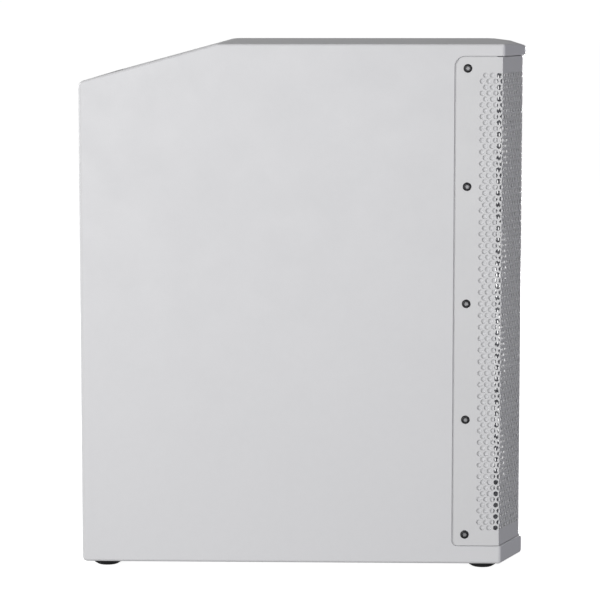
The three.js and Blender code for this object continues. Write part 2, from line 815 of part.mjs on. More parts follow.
addTopPanel();
addBottomPanel();
addSidePanel("left_side_panel", -1);
addSidePanel("right_side_panel", 1);
addRearPanel();
addSlopePanel();
addBaffle();
addBrace();
addGrille();
addGrilleScrews();
addFeet();
addBasket();
addMagnetSystem();
addConeGroup();
addGasketAndTerminals();
addPorts();
addControlPlate();
addControlBoard();
addKnobsAndButtons();
addAmplifierPlate();
addHeatSink();
addSockets();
addPowerSwitch();
addElectronics();
addHandle();
addWiring();

export default part;
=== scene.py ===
# Looks for the powered subwoofer cabinet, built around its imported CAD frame. Lengths are in millimetres until
# a mesh is made, and the frame is the CAD's: +Z up, the front faces -Y, the side that the camera sees is -X.

import math

import bmesh
import bpy
from mathutils import Matrix, Vector


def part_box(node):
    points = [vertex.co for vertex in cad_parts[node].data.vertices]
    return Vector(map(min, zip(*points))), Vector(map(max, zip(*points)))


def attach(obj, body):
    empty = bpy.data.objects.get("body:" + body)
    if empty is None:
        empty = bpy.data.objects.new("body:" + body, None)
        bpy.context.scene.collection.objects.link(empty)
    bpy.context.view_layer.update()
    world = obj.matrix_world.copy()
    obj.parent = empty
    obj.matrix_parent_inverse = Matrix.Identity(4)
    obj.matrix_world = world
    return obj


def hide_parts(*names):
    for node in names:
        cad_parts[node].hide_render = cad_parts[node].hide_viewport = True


MM = 0.001

# ---- Driving dimensions, the same as the CAD's ----

HALF_WIDTH = 170.0
FRONT, BACK = -232.5, 232.5
BASE, TOP = 8.0, 552.0
KINK = 88.5
SLOPE_DROP, SLOPE_RUN = 39.4, 144.0
SLOPE_THICK = 22.0
FLOOR_IN, CEILING_IN = 27.0, 539.5
BEVEL_BACK, BEVEL_IN = 25.3, 55.0
NOSE_RUN, NOSE_DROP = 19.0, 2.0
WALL = 18.0
FOLD = -205.4
STRIP_BACK = -157.9
SIDE_FRONT = -199.8
SEAM = 0.8
REAR_SEAM = 1.6
RECESS = 2.6
SHEET = 1.5
GRILLE_FRONT = FRONT + 3.3
GRILLE_BOTTOM, GRILLE_TOP = FLOOR_IN + SEAM, CEILING_IN - SEAM
BAFFLE = -192.0
WOOFER_Z = 365.0
PORT_X, PORT_Z = 76.0, 135.0
SCREW_Y = -169.6
SCREW_HEIGHTS = [GRILLE_BOTTOM + 11.7 + i * (GRILLE_TOP - GRILLE_BOTTOM - 23.4) / 4 for i in range(5)]
REAR_INNER = BACK - WALL

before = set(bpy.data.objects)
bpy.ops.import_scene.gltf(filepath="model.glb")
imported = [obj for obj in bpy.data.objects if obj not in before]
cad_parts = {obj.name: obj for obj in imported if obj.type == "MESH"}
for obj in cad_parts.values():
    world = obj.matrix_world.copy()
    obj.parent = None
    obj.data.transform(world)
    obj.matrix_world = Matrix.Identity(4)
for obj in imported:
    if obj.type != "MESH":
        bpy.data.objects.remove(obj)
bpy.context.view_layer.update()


# ---- Mesh helpers ----


def new_object(name, bm, surface, sharp=35.0, weighted=True):
    """A mesh object from a bmesh in millimetres, shaded smooth below the sharp angle. Weighted normals keep
    large flat faces flat beside rounded edges."""
    bmesh.ops.scale(bm, vec=(MM, MM, MM), verts=bm.verts)
    bmesh.ops.recalc_face_normals(bm, faces=bm.faces)
    mesh = bpy.data.meshes.new(name)
    bm.to_mesh(mesh)
    bm.free()
    mesh.materials.append(surface)
    mesh.shade_smooth()
    mesh.set_sharp_from_angle(angle=math.radians(sharp))
    obj = bpy.data.objects.new(name, mesh)
    bpy.context.scene.collection.objects.link(obj)
    if weighted:
        obj.modifiers.new("normals", "WEIGHTED_NORMAL").keep_sharp = True
    return obj


def prism(outline, low, high, axis="Z"):
    """A bmesh prism: the outline's two coordinates are the axes other than the given one, in X, Y, Z order."""
    place = {
        "X": lambda a, b, c: (c, a, b),
        "Y": lambda a, b, c: (a, c, b),
        "Z": lambda a, b, c: (a, b, c),
    }[axis]
    bm = bmesh.new()
    bottom = [bm.verts.new(place(a, b, low)) for a, b in outline]
    top = [bm.verts.new(place(a, b, high)) for a, b in outline]
    bm.faces.new(bottom[::-1])
    bm.faces.new(top)
    count = len(outline)
    for i in range(count):
        j = (i + 1) % count
        bm.faces.new((bottom[i], bottom[j], top[j], top[i]))
    bmesh.ops.recalc_face_normals(bm, faces=bm.faces)
    return bm


def block(low, high):
    """A bmesh box from its two corners."""
    return prism([(low[0], low[1]), (high[0], low[1]), (high[0], high[1]), (low[0], high[1])], low[2], high[2])


def rounded(a0, b0, a1, b1, radius, steps=6):
    """A rounded rectangle's outline; radius is one number, or one for each corner from the low one round."""
    radii = radius if isinstance(radius, (list, tuple)) else [radius] * 4
    signs = [(a0, b0, 1, 1, 180), (a1, b0, -1, 1, 270), (a1, b1, -1, -1, 0), (a0, b1, 1, -1, 90)]
    points = []
    for (a, b, sa, sb, start), r in zip(signs, radii):
        if r <= 0:
            points.append((a, b))
            continue
        for i in range(steps + 1):
            angle = math.radians(start + 90 * i / steps)
            points.append((a + sa * r + r * math.cos(angle), b + sb * r + r * math.sin(angle)))
    return points


def temp_object(bm):
    mesh = bpy.data.meshes.new("tool")
    bm.to_mesh(mesh)
    bm.free()
    obj = bpy.data.objects.new("tool", mesh)
    bpy.context.scene.collection.objects.link(obj)
    return obj


def carve(body, tools, operation="DIFFERENCE"):
    """The bmesh body with each bmesh tool cut from it, or joined or intersected with it."""
    base = temp_object(body)
    cutters = [temp_object(tool) for tool in tools]
    for cutter in cutters:
        modifier = base.modifiers.new("cut", "BOOLEAN")
        modifier.operation = operation
        modifier.solver = "EXACT"
        modifier.object = cutter
    graph = bpy.context.evaluated_depsgraph_get()
    result = bmesh.new()
    result.from_object(base, graph)
    for obj in [base, *cutters]:
        mesh = obj.data
        bpy.data.objects.remove(obj)
        bpy.data.meshes.remove(mesh)
    bmesh.ops.remove_doubles(result, verts=result.verts, dist=1e-3)
    bmesh.ops.dissolve_limit(result, angle_limit=math.radians(0.5), verts=result.verts, edges=result.edges)
    return result


def ease(bm, radius_of, segments=4):
    """Rounds each sharp edge of bm by what radius_of says for its two ends, in millimetres. 0 leaves it."""
    layer = bm.edges.layers.float.get("bevel_weight_edge") or bm.edges.layers.float.new("bevel_weight_edge")
    chosen = []
    for edge in bm.edges:
        if not edge.is_manifold or edge.calc_face_angle() < math.radians(9):
            continue
        radius = radius_of(edge.verts[0].co, edge.verts[1].co)
        if radius > 0:
            chosen.append(radius)
            edge[layer] = radius
    widest = max(chosen)
    for edge in bm.edges:
        edge[layer] = edge[layer] / widest
    base = temp_object(bm)
    modifier = base.modifiers.new("round", "BEVEL")
    modifier.limit_method = "WEIGHT"
    modifier.offset_type = "OFFSET"
    modifier.width = widest
    modifier.segments = segments
    modifier.profile = 0.5
    modifier.use_clamp_overlap = False
    modifier.miter_outer = "MITER_SHARP"
    result = bmesh.new()
    result.from_object(base, bpy.context.evaluated_depsgraph_get())
    mesh = base.data
    bpy.data.objects.remove(base)
    bpy.data.meshes.remove(mesh)
    return result


def turn(profile, segments, closed=False):
    """A bmesh turned about Y. The profile is (radius, y); it starts and ends on the axis, or closes on itself."""
    bm = bmesh.new()
    rings = []
    for radius, y in profile:
        if radius < 1e-6:
            rings.append([bm.verts.new((0, y, 0))])
            continue
        ring = []
        for i in range(segments):
            angle = 2 * math.pi * i / segments
            ring.append(bm.verts.new((radius * math.cos(angle), y, radius * math.sin(angle))))
        rings.append(ring)
    pairs = list(zip(rings, rings[1:] + rings[:1])) if closed else list(zip(rings, rings[1:]))
    for low, high in pairs:
        for i in range(segments):
            j = (i + 1) % segments
            corners = [low[i % len(low)], low[j % len(low)], high[j % len(high)], high[i % len(high)]]
            unique = list(dict.fromkeys(corners))
            if len(unique) > 2:
                bm.faces.new(unique)
    bmesh.ops.recalc_face_normals(bm, faces=bm.faces)
    return bm


def merge(*parts):
    """One bmesh holding all the parts."""
    whole = bmesh.new()
    for bm in parts:
        mesh = bpy.data.meshes.new("merge")
        bm.to_mesh(mesh)
        bm.free()
        whole.from_mesh(mesh)
        bpy.data.meshes.remove(mesh)
    return whole


def moved(bm, x=0.0, y=0.0, z=0.0):
    bmesh.ops.translate(bm, vec=(x, y, z), verts=bm.verts)
    return bm


def turned_by(bm, degrees, axis):
    bmesh.ops.rotate(bm, cent=(0, 0, 0), matrix=Matrix.Rotation(math.radians(degrees), 3, axis), verts=bm.verts)
    return bm


def fillet(points, radius, steps=4, closed=True):
    """The outline with each corner rounded by radius, or by its own third value."""
    result = []
    count = len(points)
    for i, point in enumerate(points):
        here = Vector(point[:2])
        r = point[2] if len(point) > 2 else radius
        if not closed and i in (0, count - 1):
            result.append(tuple(here))
            continue
        before = Vector(points[i - 1][:2]) - here
        after = Vector(points[(i + 1) % count][:2]) - here
        angle = before.angle(after)
        if r <= 0 or angle > math.pi - 0.02:
            result.append(tuple(here))
            continue
        reach = min(r / math.tan(angle / 2), 0.49 * before.length, 0.49 * after.length)
        start = here + before.normalized() * reach
        end = here + after.normalized() * reach
        for k in range(steps + 1):
            t = k / steps
            result.append(tuple(start * (1 - t) ** 2 + here * (2 * t * (1 - t)) + end * t ** 2))
    return result


# ---- Materials ----


def material(name, color, rough, grain=0.4, relief=0.03, mottle=0.04, metal=0.0, sheen=0.0, coat=0.0,
             specular=0.5, smudge=0.12):
    """A surface with fine relief, uneven gloss and slight colour variation. grain and relief are the size and
    height of its texture in millimetres, mottle and smudge the share that colour and roughness vary by."""
    made = bpy.data.materials.new(name)
    made.use_nodes = True
    tree = made.node_tree
    shader = tree.nodes["Principled BSDF"]
    shader.inputs["Metallic"].default_value = metal
    shader.inputs["Specular IOR Level"].default_value = specular
    shader.inputs["Coat Weight"].default_value = coat
    shader.inputs["Coat Roughness"].default_value = 0.25
    shader.inputs["Sheen Weight"].default_value = sheen

    place = tree.nodes.new("ShaderNodeTexCoord")

    def noise(size_mm, detail=3.0, distortion=0.0):
        node = tree.nodes.new("ShaderNodeTexNoise")
        node.inputs["Scale"].default_value = 1.0 / (size_mm * MM)
        node.inputs["Detail"].default_value = detail
        node.inputs["Distortion"].default_value = distortion
        tree.links.new(place.outputs["Object"], node.inputs["Vector"])
        return node

    broad = noise(160.0, 3.0)
    fine = noise(9.0, 2.0)
    mixed = tree.nodes.new("ShaderNodeMath")
    mixed.operation = "ADD"
    tree.links.new(broad.outputs["Fac"], mixed.inputs[0])
    tree.links.new(fine.outputs["Fac"], mixed.inputs[1])
    ramp = tree.nodes.new("ShaderNodeValToRGB")
    ramp.color_ramp.elements[0].position = 0.30
    ramp.color_ramp.elements[1].position = 0.70
    ramp.color_ramp.elements[0].color = (*[c * (1 - mottle) for c in color], 1)
    ramp.color_ramp.elements[1].color = (*[min(1.0, c * (1 + mottle)) for c in color], 1)
    half = tree.nodes.new("ShaderNodeMath")
    half.operation = "MULTIPLY"
    half.inputs[1].default_value = 0.5
    tree.links.new(mixed.outputs[0], half.inputs[0])
    tree.links.new(half.outputs[0], ramp.inputs["Fac"])
    tree.links.new(ramp.outputs["Color"], shader.inputs["Base Color"])

    gloss = noise(38.0, 4.0, 0.6)
    spread = tree.nodes.new("ShaderNodeMapRange")
    spread.inputs["From Min"].default_value = 0.3
    spread.inputs["From Max"].default_value = 0.7
    spread.inputs["To Min"].default_value = rough * (1 - smudge)
    spread.inputs["To Max"].default_value = min(1.0, rough * (1 + smudge))
    tree.links.new(gloss.outputs["Fac"], spread.inputs["Value"])
    tree.links.new(spread.outputs["Result"], shader.inputs["Roughness"])

    texture = noise(grain, 2.0)
    bump = tree.nodes.new("ShaderNodeBump")
    bump.inputs["Strength"].default_value = 1.0
    bump.inputs["Distance"].default_value = relief * MM
    tree.links.new(texture.outputs["Fac"], bump.inputs["Height"])
    tree.links.new(bump.outputs["Normal"], shader.inputs["Normal"])
    return made


WHITE_PAINT = material("cabinet_paint", (0.70, 0.70, 0.715), 0.50, grain=1.1, relief=0.055, mottle=0.010)
GRILLE_PAINT = material("grille_powder_coat", (0.68, 0.68, 0.69), 0.45, grain=0.9, relief=0.03, mottle=0.012)
INNER_PAINT = material("inner_paint", (0.60, 0.61, 0.63), 0.7, grain=1.6, relief=0.09, mottle=0.04)
BLACK_SCREW = material("black_screw", (0.022, 0.022, 0.024), 0.36, grain=0.35, relief=0.02, metal=0.5)
# Painted highlight: light grey in the black screws' drive recess, standing in for light reflected inside the recess.
RECESS_HIGHLIGHT = material("screw_recess_painted_highlight", (0.28, 0.28, 0.29), 0.45, grain=0.35, relief=0.04, mottle=0.2, metal=0.6)
RUBBER = material("rubber", (0.014, 0.014, 0.015), 0.78, grain=0.5, relief=0.05, mottle=0.15, specular=0.35)
BLACK_MOULDED = material("black_moulding", (0.020, 0.020, 0.022), 0.52, grain=0.55, relief=0.07, mottle=0.08)
BLACK_POWDER = material("black_powder_coat", (0.026, 0.026, 0.028), 0.55, grain=0.7, relief=0.08, mottle=0.08)
ANODISED = material("black_anodised", (0.030, 0.030, 0.033), 0.34, grain=0.25, relief=0.015, metal=0.85)
CAST = material("coated_casting", (0.040, 0.040, 0.043), 0.6, grain=0.9, relief=0.10, metal=0.3)
STEEL = material("zinc_plate", (0.50, 0.51, 0.53), 0.32, grain=0.5, relief=0.02, metal=0.9)
CONE = material("cone_paper", (0.030, 0.030, 0.031), 0.85, grain=0.8, relief=0.12, mottle=0.25, sheen=0.2)
MARKS = material("print_white", (0.75, 0.76, 0.78), 0.6, grain=0.5, relief=0.01)
GREY_PLASTIC = material("grey_plastic", (0.26, 0.27, 0.29), 0.42, grain=0.5, relief=0.03)
COPPER = material("winding", (0.55, 0.27, 0.13), 0.35, grain=0.4, relief=0.05, metal=0.8)
FERRITE = material("ferrite", (0.055, 0.053, 0.052), 0.72, grain=1.2, relief=0.10, mottle=0.15)
BOARD = material("circuit_board", (0.020, 0.13, 0.07), 0.38, grain=1.4, relief=0.05, mottle=0.20)
SPIDER = material("spider_cloth", (0.52, 0.36, 0.13), 0.85, grain=0.45, relief=0.12, mottle=0.12)


# ---- Cabinet ----


def slope_height(y):
    return TOP - (y - KINK) * SLOPE_DROP / SLOPE_RUN


SLOPE = Matrix.Translation((0, KINK + SLOPE_RUN / 2, TOP - SLOPE_DROP / 2)) @ Matrix.Rotation(
    -math.atan2(SLOPE_DROP, SLOPE_RUN), 4, "X"
)


def on_slope(bm):
    bmesh.ops.transform(bm, matrix=SLOPE, verts=bm.verts)
    return bm


def plan_outline():
    corner = HALF_WIDTH - BEVEL_IN
    right = [(HALF_WIDTH, BACK), (HALF_WIDTH, FRONT + BEVEL_BACK), (corner, FRONT)]
    return right + [(-x, y) for x, y in reversed(right)]


def cabinet_solid():
    side = [
        (FRONT, BASE),
        (BACK, BASE),
        (BACK, slope_height(BACK)),
        (KINK, TOP),
        (FRONT + NOSE_RUN, TOP),
        (FRONT, TOP - NOSE_DROP),
    ]
    outer = carve(prism(side, -HALF_WIDTH - 5, HALF_WIDTH + 5, "X"), [prism(plan_outline(), 0, 600)], "INTERSECT")
    inner = HALF_WIDTH - WALL
    hollow = [
        (FRONT - 20, FLOOR_IN),
        (REAR_INNER, FLOOR_IN),
        (REAR_INNER, slope_height(REAR_INNER) - SLOPE_THICK),
        (KINK, TOP - SLOPE_THICK),
        (KINK, CEILING_IN),
        (FRONT - 20, CEILING_IN),
    ]
    tools = [
        prism(hollow, -inner, inner, "X"),
        block((-HALF_WIDTH - 20, FRONT - 20, FLOOR_IN), (HALF_WIDTH + 20, SIDE_FRONT, CEILING_IN)),
    ]
    strip = rounded(
        FRONT - 30, GRILLE_BOTTOM - SEAM, STRIP_BACK + REAR_SEAM, GRILLE_TOP + SEAM, [0, 5.8, 10.8, 0], 8
    )
    for side_x in (-1, 1):
        outside, inside = side_x * (HALF_WIDTH + 4), side_x * (HALF_WIDTH - RECESS)
        tools.append(prism(strip, min(outside, inside), max(outside, inside), "X"))
    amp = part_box("amplifier_plate")
    half_amp = amp[1].x / MM + 0.5
    tools.append(prism(rounded(-half_amp, 50, half_amp, 344, 4), 220.2, BACK + 9, "Y"))
    tools.append(prism(rounded(-half_amp + 12, 62, half_amp - 12, 332, 3), REAR_INNER - 9, 226, "Y"))
    tools.append(prism(rounded(-86.3, 375.7, 86.3, 474.3, 9.3), BACK - 2.6, BACK + 9, "Y"))
    tools.append(prism(rounded(-75.3, 386.7, 75.3, 463.3, 4), REAR_INNER - 9, BACK - 1, "Y"))
    tools.append(on_slope(prism(rounded(-148, -61, 148, 61, 5), -16.3, 12)))
    tools.append(on_slope(prism(rounded(-142, -55, 142, 55, 3), -40, -10)))
    return carve(outer, tools)


def edge_radius(a, b):
    """How round each edge of the cabinet is."""
    near = lambda value, target, spare=0.3: abs(value - target) < spare
    both = lambda test: test(a) and test(b)
    outer_side = both(lambda p: near(abs(p.x), HALF_WIDTH))
    if both(lambda p: near(p.y, BACK)):
        if outer_side or both(lambda p: near(p.z, BASE)) or both(lambda p: near(p.z, slope_height(BACK))):
            return 5.0
        return 1.2
    if both(lambda p: near(p.z, TOP)) and near(a.y, KINK) and near(b.y, KINK):
        return 6.0
    if outer_side:
        if both(lambda p: p.z > CEILING_IN + 1 or p.y > KINK and p.z > slope_height(p.y) - 1):
            return 2.6
        if both(lambda p: near(p.z, BASE)):
            return 3.0
        if both(lambda p: near(p.y, FRONT + BEVEL_BACK)):
            return 2.6
        return 0.7
    if both(lambda p: near(p.z, BASE)):
        return 3.0
    if both(lambda p: near(p.z, TOP - NOSE_DROP) and p.y < FRONT + BEVEL_BACK + 1):
        return 3.2
    if both(lambda p: p.z > TOP - NOSE_DROP - 0.3 and p.y < KINK - 2):
        return 2.2
    if both(lambda p: near(abs(p.x), HALF_WIDTH - BEVEL_IN) and near(p.y, FRONT)):
        return 3.0
    on_slope_top = both(lambda p: near(p.z, slope_height(p.y)) and p.y > KINK + 1)
    if on_slope_top:
        return 1.4
    if both(lambda p: p.y < SIDE_FRONT + 1):
        return 1.0
    return 0.0


def build_cabinet():
    bm = ease(cabinet_solid(), edge_radius)
    cabinet = new_object("cabinet_shell", bm, WHITE_PAINT, 40)
    crease = (FRONT + NOSE_RUN) * MM
    for edge in cabinet.data.edges:
        ends = [cabinet.data.vertices[i].co for i in edge.vertices]
        if all(abs(end.y - crease) < 1e-4 and end.z > TOP * MM - 1e-4 for end in ends):
            edge.use_edge_sharp = True
    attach(cabinet, "cabinet")
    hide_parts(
        "top_panel",
        "bottom_panel",
        "left_side_panel",
        "right_side_panel",
        "rear_panel",
        "slope_panel",
    )


# ---- Grille ----

HOLE_PITCH = 7.0044
HOLE_RADIUS = 2.75
ROW_PITCH = HOLE_PITCH * math.sqrt(3) / 2
HOLE_ROWS = 79
HOLE_SIDES = 8
BEVEL_LENGTH = 56.95
FLAT_HALF = 118.26


def folded(distance, depth):
    """A point of the folded sheet in plan: distance is measured across the sheet from its middle, and depth
    is 0 on the outer face and 1 on the inner."""
    side = 1 if distance >= 0 else -1
    run = abs(distance)
    bevel = Vector((HALF_WIDTH - FLAT_HALF, FOLD - GRILLE_FRONT)).normalized()
    flat_normal, bevel_normal, side_normal = Vector((0, 1)), Vector((-bevel.y, bevel.x)), Vector((-1, 0))
    if run <= FLAT_HALF:
        point, normal, other, to_fold = Vector((run, GRILLE_FRONT)), flat_normal, bevel_normal, FLAT_HALF - run
    elif run <= FLAT_HALF + BEVEL_LENGTH:
        along = run - FLAT_HALF
        point, normal = Vector((FLAT_HALF, GRILLE_FRONT)) + bevel * along, bevel_normal
        first = along < BEVEL_LENGTH / 2
        other, to_fold = (flat_normal, along) if first else (side_normal, BEVEL_LENGTH - along)
    else:
        along = run - FLAT_HALF - BEVEL_LENGTH
        point, normal, other, to_fold = Vector((HALF_WIDTH, FOLD + along)), side_normal, bevel_normal, along
    mitre = (normal + other) / (1 + normal.dot(other))
    share = max(0.0, 1 - to_fold / 1.5)
    offset = (normal * (1 - share) + mitre * share) * SHEET * depth
    point = point + offset
    return side * point.x, point.y


def cell_faces(bm, six, rim):
    """Fills between a cell's six corners and its hole's eight."""
    c, r = six, rim
    faces = [
        (c[0], c[1], r[0]),
        (c[1], r[1], r[0]),
        (c[1], c[2], r[2], r[1]),
        (c[2], c[3], r[3], r[2]),
        (c[3], r[4], r[3]),
        (c[3], c[4], r[4]),
        (c[4], r[5], r[4]),
        (c[4], c[5], r[6], r[5]),
        (c[5], c[0], r[7], r[6]),
        (c[0], r[0], r[7]),
    ]
    for face in faces:
        bm.faces.new(face)


def loop_wall(bm, outer, inner, closed):
    """Joins two matching runs of vertices, one on each face of the sheet."""
    count = len(outer)
    for i in range(count if closed else count - 1):
        j = (i + 1) % count
        bm.faces.new((outer[i], outer[j], inner[j], inner[i]))


def build_grille():
    bm = bmesh.new()
    half = HOLE_PITCH / 2
    middle = (GRILLE_BOTTOM + GRILLE_TOP) / 2
    last = 57
    corners = {}

    def line_height(line):
        if line < 0:
            return GRILLE_BOTTOM
        if line > HOLE_ROWS:
            return GRILLE_TOP
        return middle + (line - HOLE_ROWS / 2) * ROW_PITCH

    def corner(step, line, depth):
        """A shared corner: step counts half pitches from the middle, line the boundaries between rows."""
        key = (step, line, depth)
        if key not in corners:
            x, y = folded(step * half, depth)
            corners[key] = bm.verts.new((x, y, line_height(line)))
        return corners[key]

    for row in range(HOLE_ROWS):
        z = line_height(row) + ROW_PITCH / 2
        first = -last + 2 - row % 2
        for step in range(first, last, 2):
            rims = []
            for depth in (0, 1):
                rim = []
                for k in range(HOLE_SIDES):
                    angle = 2 * math.pi * k / HOLE_SIDES
                    x, y = folded(step * half + HOLE_RADIUS * math.cos(angle), depth)
                    rim.append(bm.verts.new((x, y, z + HOLE_RADIUS * math.sin(angle))))
                rims.append(rim)
                at = [(1, 0), (1, 1), (0, 1), (-1, 1), (-1, 0), (0, 0)]
                cell_faces(bm, [corner(step + a, row + b, depth) for a, b in at], rim)
            loop_wall(bm, rims[0], rims[1], True)
    for depth in (0, 1):
        quads = [(step, line) for step in range(-last, last) for line in (-1, HOLE_ROWS)]
        quads += [(step, row) for row in range(0, HOLE_ROWS, 2) for step in (-last, last - 1)]
        for step, line in quads:
            at = [(0, 0), (1, 0), (1, 1), (0, 1)]
            bm.faces.new([corner(step + a, line + b, depth) for a, b in at])
    for line in (-1, HOLE_ROWS + 1):
        run = [[corner(step, line, depth) for step in range(-last, last + 1)] for depth in (0, 1)]
        loop_wall(bm, run[0], run[1], False)
    add_strips(bm, corner, last)
    grille = new_object("grille_perforated", bm, GRILLE_PAINT, 50, weighted=False)
    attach(grille, "cabinet")
    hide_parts("grille_sheet")


def add_strips(bm, corner, last):
    """The plain part of the sheet that lies in the recess on each side, with its screw holes."""
    outline = rounded(0, GRILLE_BOTTOM, STRIP_BACK, GRILLE_TOP, [0, 5, 10, 0], 7)
    outline = [point for point in outline if point[0] != 0]
    for side in (-1, 1):
        loops = []
        for depth in (0, 1):
            x = side * (HALF_WIDTH - SHEET * depth)
            chain = [corner(side * last, line, depth) for line in range(HOLE_ROWS + 1, -2, -1)]
            edge = [bm.verts.new((x, y, z)) for y, z in outline]
            rings = [
                [
                    bm.verts.new((x, SCREW_Y + 2.6 * math.cos(a), height + 2.6 * math.sin(a)))
                    for a in [2 * math.pi * k / 12 for k in range(12)]
                ]
                for height in SCREW_HEIGHTS
            ]
            edges = []
            for loop in [chain + edge, *rings]:
                for a, b in zip(loop, loop[1:] + loop[:1]):
                    edges.append(bm.edges.get((a, b)) or bm.edges.new((a, b)))
            bmesh.ops.triangle_fill(bm, use_beauty=True, edges=edges, normal=(side, 0, 0))
            loops.append((edge, rings, chain))
        (edge0, rings0, chain0), (edge1, rings1, chain1) = loops
        loop_wall(bm, [chain0[-1], *edge0, chain0[0]], [chain1[-1], *edge1, chain1[0]], False)
        for ring0, ring1 in zip(rings0, rings1):
            loop_wall(bm, ring0, ring1, True)


def socket_head(radius, height, recess, shank_radius, shank_length):
    """A button-head screw along +Y from its seat, with a six-lobed recess, as one closed bmesh."""
    lobes, sides = 6, 36
    bm = bmesh.new()

    def ring(y, size):
        return [
            bm.verts.new((size(k) * math.cos(2 * math.pi * k / sides), y, size(k) * math.sin(2 * math.pi * k / sides)))
            for k in range(sides)
        ]

    round_of = lambda r: lambda k: r
    lobed = lambda r: lambda k: r * (1 + 0.16 * math.cos(2 * math.pi * k * lobes / sides))
    levels = [
        (-shank_length, round_of(shank_radius * 0.8)),
        (-shank_length + 1.2, round_of(shank_radius)),
        (0, round_of(shank_radius)),
        (0, round_of(radius - 0.15)),
        (0.18, round_of(radius)),
        (height * 0.45, round_of(radius * 0.965)),
        (height * 0.8, round_of(radius * 0.85)),
        (height * 0.97, round_of(radius * 0.68)),
        (height, round_of(radius * 0.60)),
        (height - 0.08, lobed(recess)),
        (height - 1.0, lobed(recess * 0.94)),
    ]
    rings = [ring(y, size) for y, size in levels]
    for low, high in zip(rings, rings[1:]):
        loop_wall(bm, low, high, True)
    bm.faces.new(rings[0])
    bm.faces.new(rings[-1])
    # The recess faces take material slot 1, which on the grille screws holds the painted recess highlight.
    for face in bm.faces:
        if min(vert.co.y for vert in face.verts) > 0 and max(vert.co.xz.length for vert in face.verts) < recess * 1.3:
            face.material_index = 1
    return bm


def build_grille_screws():
    for name, side in (("left", -1), ("right", 1)):
        for i, height in enumerate(SCREW_HEIGHTS):
            bm = socket_head(4.5, 1.5, 1.9, 2.0, 13)
            turned_by(bm, -90 * side, "Z")
            moved(bm, side * HALF_WIDTH, SCREW_Y, height)
            screw = new_object(f"screw_{name}_{i + 1}", bm, BLACK_SCREW, 32)
            # Slot 1 is the painted highlight in the drive recess.
            screw.data.materials.append(RECESS_HIGHLIGHT)
            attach(screw, "cabinet")
            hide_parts(f"grille_screw_{name}_{i + 1}")


# ---- Feet ----


def build_feet():
    profile = fillet(
        [(0, 5.2), (4.4, 5.2), (4.6, 0.4, 0.4), (5.4, 0, 0.4), (11, 0, 1.2), (14.5, 2.2, 2), (16, 5.5, 2), (16, 7.7), (0, 7.7)],
        0.01,
        closed=False,
    )
    for name in ("foot_front_left", "foot_front_right", "foot_rear_left", "foot_rear_right"):
        low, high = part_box(name)
        bm = turned_by(turn(profile, 48), 90, "X")
        moved(bm, (low.x + high.x) / 2 / MM, (low.y + high.y) / 2 / MM)
        foot = new_object(name.replace("foot", "rubber_foot"), bm, RUBBER, 40)
        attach(foot, "cabinet")
        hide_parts(name)


# ---- Woofer: y is measured backwards from the baffle's face ----

ROUND = 96


def place_woofer(name, bm, surface, node, body, sharp=35.0):
    moved(bm, 0, BAFFLE, WOOFER_Z)
    piece = new_object(name, bm, surface, sharp)
    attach(piece, body)
    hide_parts(node)
    return piece


def ring_profile(r0, r1, y0, y1, radius):
    return fillet([(r0, y0), (r1, y0), (r1, y1), (r0, y1)], radius, 4)


def build_basket():
    flange = fillet([(112, -6, 1.5), (131, -6, 1.5), (131, -0.3, 0.3), (116.3, -0.3, 0), (116.3, 10, 1), (112, 10, 1)], 1)
    rear = fillet([(72, 85), (76.5, 85), (76.5, 91), (45, 91), (45, 87), (72, 87)], 0.8)
    parts = [turn(flange, ROUND, True), turn(rear, ROUND, True)]
    for k in range(6):
        arm = prism([(112.3, 7), (116.2, 9), (79, 84), (76.4, 88), (73, 86)], -11, 11, "Z")
        rib = prism([(114.2, 12), (118.5, 14), (82, 84), (77, 88)], -2, 2, "Z")
        parts += [turned_by(arm, 60 * k, "Y"), turned_by(rib, 60 * k, "Y")]
    bm = carve(parts[0], parts[1:], "UNION")
    place_woofer("woofer_frame", bm, CAST, "woofer_basket", "cabinet")


def build_motor():
    top = ring_profile(33.3, 68, 91.3, 99.3, 0.8)
    magnet = ring_profile(38, 78, 99.6, 121.6, 1.8)
    back = fillet([(0, 91.3, 0), (29.5, 91.3, 1.2), (29.5, 121.9, 0.5), (68, 121.9, 1), (68, 131.9, 2.5), (0, 131.9, 0)], 1, closed=False)
    place_woofer("motor_top_plate", turn(top, ROUND, True), STEEL, "woofer_top_plate", "cabinet")
    place_woofer("motor_magnet", turn(magnet, ROUND, True), FERRITE, "woofer_magnet", "cabinet")
    place_woofer("motor_back_plate", turn(back, ROUND), STEEL, "woofer_back_plate", "cabinet")


def build_gasket():
    bm = turn(ring_profile(112, 130.5, -9, -6.3, 0.9), ROUND, True)
    place_woofer("woofer_gasket_ring", bm, RUBBER, "woofer_gasket", "cabinet")
    screws = []
    for k in range(8):
        screw = socket_head(4.2, 2.4, 1.9, 1.6, 1.0)
        turned_by(screw, 180, "X")
        moved(screw, 122.5, -9, 0)
        screws.append(turned_by(screw, 45 * k + 22.5, "Y"))
    bm = moved(merge(*screws), 0, BAFFLE, WOOFER_Z)
    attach(new_object("woofer_screws", bm, BLACK_SCREW, 32), "cabinet")


